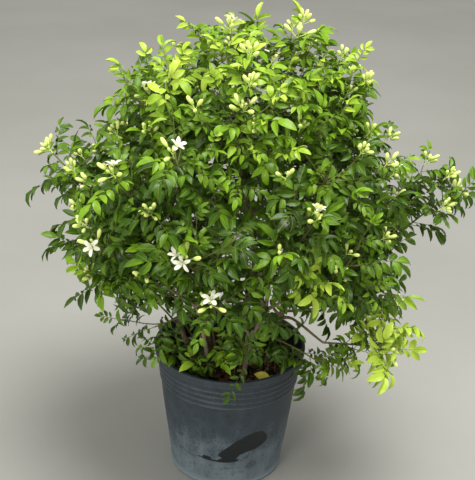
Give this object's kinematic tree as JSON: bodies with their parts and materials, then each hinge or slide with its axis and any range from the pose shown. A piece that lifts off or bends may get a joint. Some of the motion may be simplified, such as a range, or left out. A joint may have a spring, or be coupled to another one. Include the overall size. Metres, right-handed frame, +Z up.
{
  "type": "potted orange jasmine",
  "caption": "Dense evergreen shrub with glossy pinnate leaves, small white flowers and cream buds, growing from several woody stems in a tapered plastic nursery pot.",
  "frame": {"origin": "centre of the pot's flat underside", "axes": "+Z up along the pot's axis; the picture looks along +Y, with +X to its right"},
  "size_m": [0.8272, 0.691, 0.8706],
  "materials": {
    "pot": "dusty matte blow-moulded polyethylene, black faded to slate grey",
    "soil": "dark potting mix of bark and peat with leaf litter",
    "bark": "pale grey-brown bark, finely fissured",
    "leaf": "glossy leaf blade, dark green to yellow-green at the tips",
    "petal": "soft matte petal, white flowers and cream-yellow buds",
    "fallen_leaf": "dry yellowed leaf"
  },
  "bodies": {
    "root": {"blossom_01": "petal", "blossom_02": "petal", "blossom_03": "petal", "blossom_04": "petal", "blossom_05": "petal", "blossom_06": "petal", "blossom_07": "petal", "blossom_08": "petal", "blossom_09": "petal", "blossom_10": "petal", "blossom_11": "petal", "blossom_12": "petal", "blossom_13": "petal", "blossom_14": "petal", "blossom_15": "petal", "fallen_leaf": "fallen_leaf", "pot": "pot", "shoot_01": "leaf", "shoot_02": "leaf", "shoot_03": "leaf", "shoot_04": "leaf", "shoot_05": "leaf", "shoot_06": "leaf", "shoot_07": "leaf", "shoot_08": "leaf", "shoot_09": "leaf", "shoot_10": "leaf", "shoot_11": "leaf", "shoot_12": "leaf", "shoot_13": "leaf", "shoot_14": "leaf", "shoot_15": "leaf", "shoot_16": "leaf", "shoot_17": "leaf", "shoot_18": "leaf", "shoot_19": "leaf", "shoot_20": "leaf", "shoot_21": "leaf", "shoot_22": "leaf", "shoot_23": "leaf", "shoot_24": "leaf", "shoot_25": "leaf", "shoot_26": "leaf", "shoot_27": "leaf", "shoot_28": "leaf", "shoot_29": "leaf", "shoot_30": "leaf", "shoot_31": "leaf", "shoot_32": "leaf", "shoot_33": "leaf", "shoot_34": "leaf", "shoot_35": "leaf", "soil": "soil", "stem_1": "bark", "stem_2": "bark", "stem_3": "bark", "stem_4": "bark", "stem_5": "bark", "stem_6": "bark", "stem_7": "bark"}
  },
  "joints": []
}
